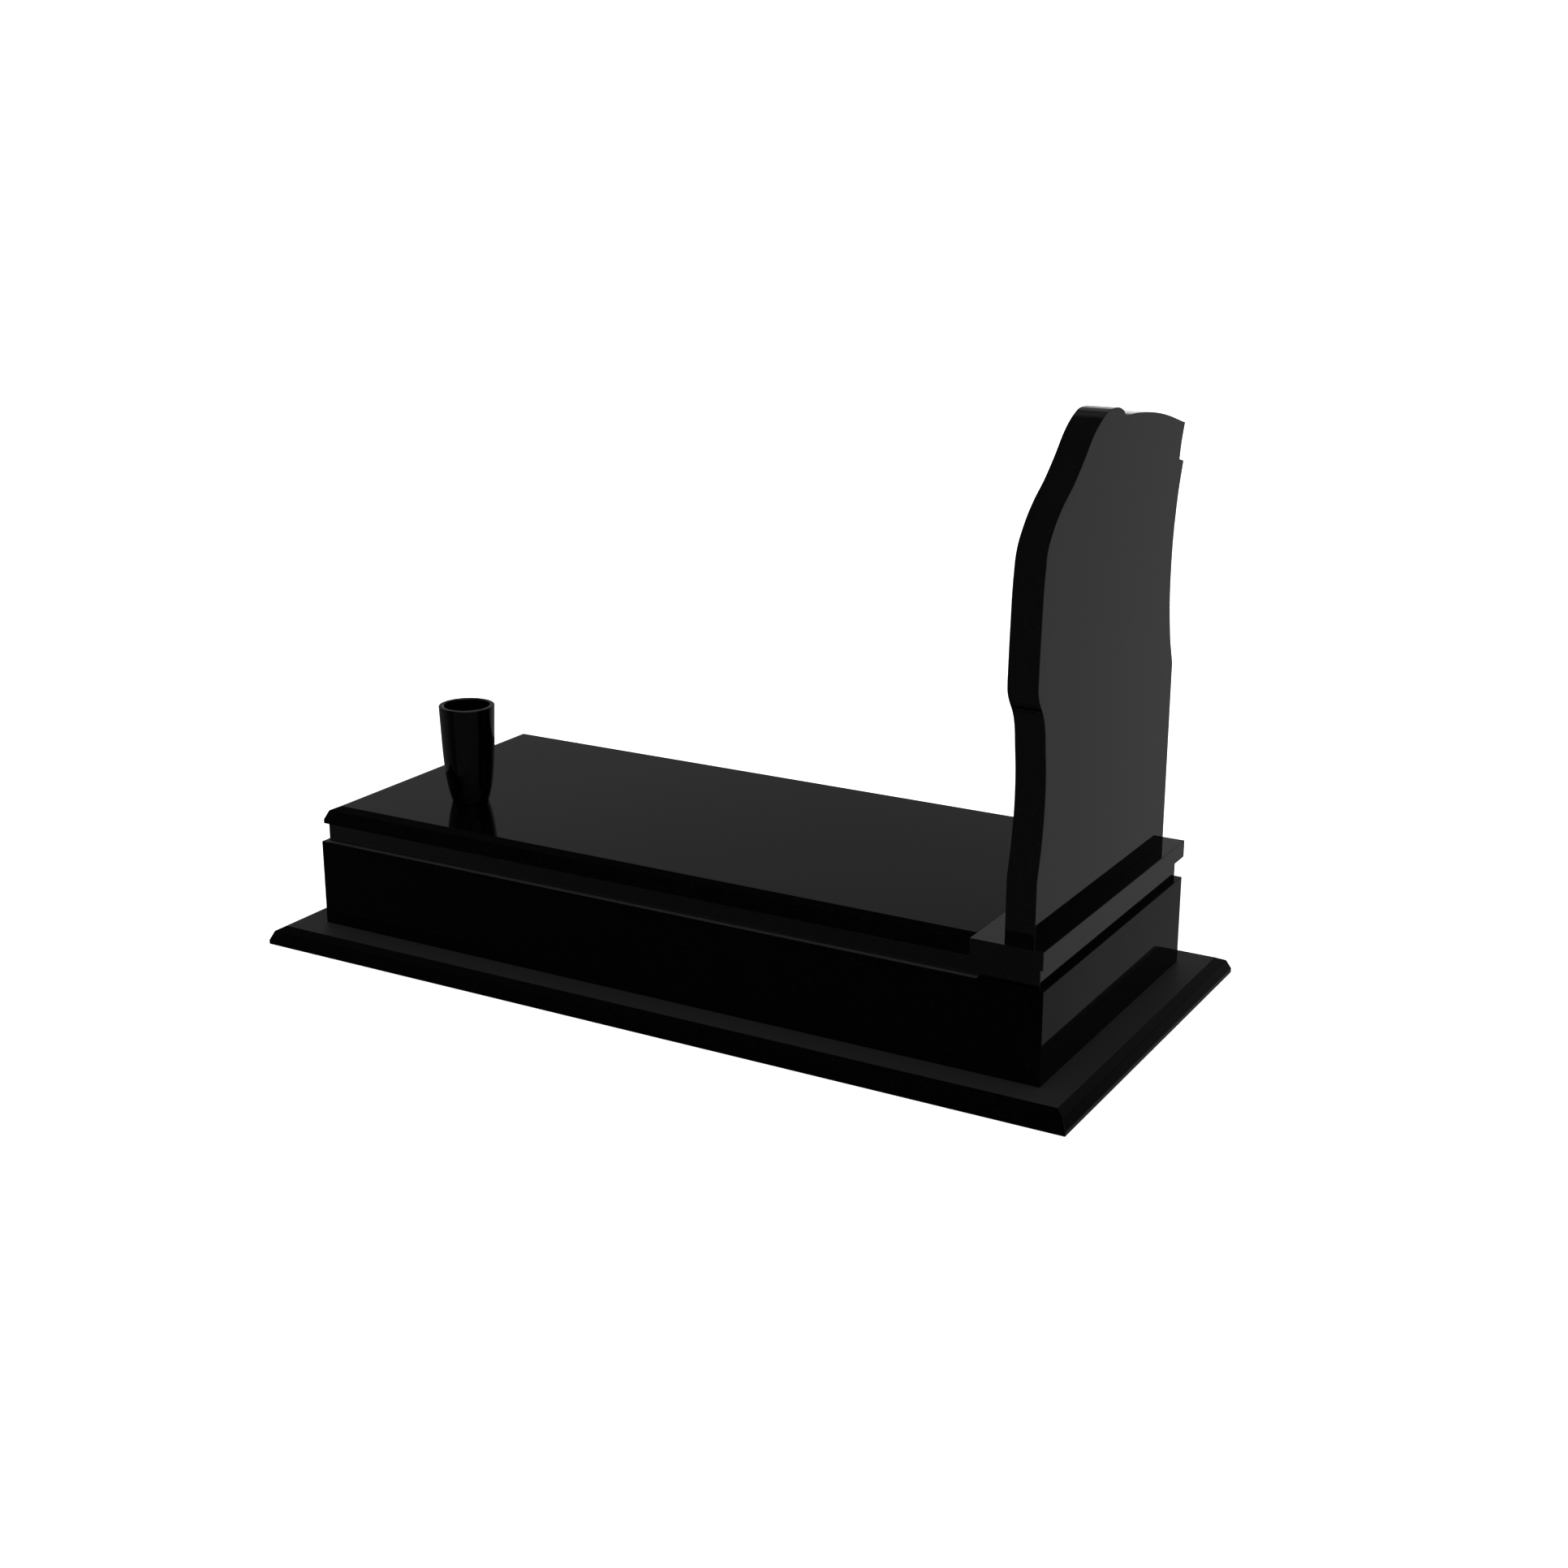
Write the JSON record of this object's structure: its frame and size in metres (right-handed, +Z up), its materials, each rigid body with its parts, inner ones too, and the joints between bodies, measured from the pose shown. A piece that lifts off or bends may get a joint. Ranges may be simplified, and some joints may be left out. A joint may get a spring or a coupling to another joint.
{
  "type": "headstone",
  "caption": "Upright free-form headstone on a single-grave monument: faceted base slab, plinth block, set-back neck, ledger, head block and a hollow stone vase.",
  "frame": {"origin": "centre of the base slab's underside, on the ground", "axes": "+Z up; +Y along the grave towards the headstone, whose front faces -Y; +X across the grave, towards the vase's side"},
  "size_m": [1, 2.1, 1.383],
  "materials": {
    "cover_granite": "deep mirror-polished black granite",
    "upright_granite": "polished black granite, a little greyer"
  },
  "bodies": {
    "root": {"base_slab": "cover_granite", "plinth_block": "cover_granite", "neck_slab": "upright_granite", "ledger": "cover_granite", "headstone_base": "upright_granite", "headstone": "upright_granite", "vase": "cover_granite"}
  },
  "joints": []
}
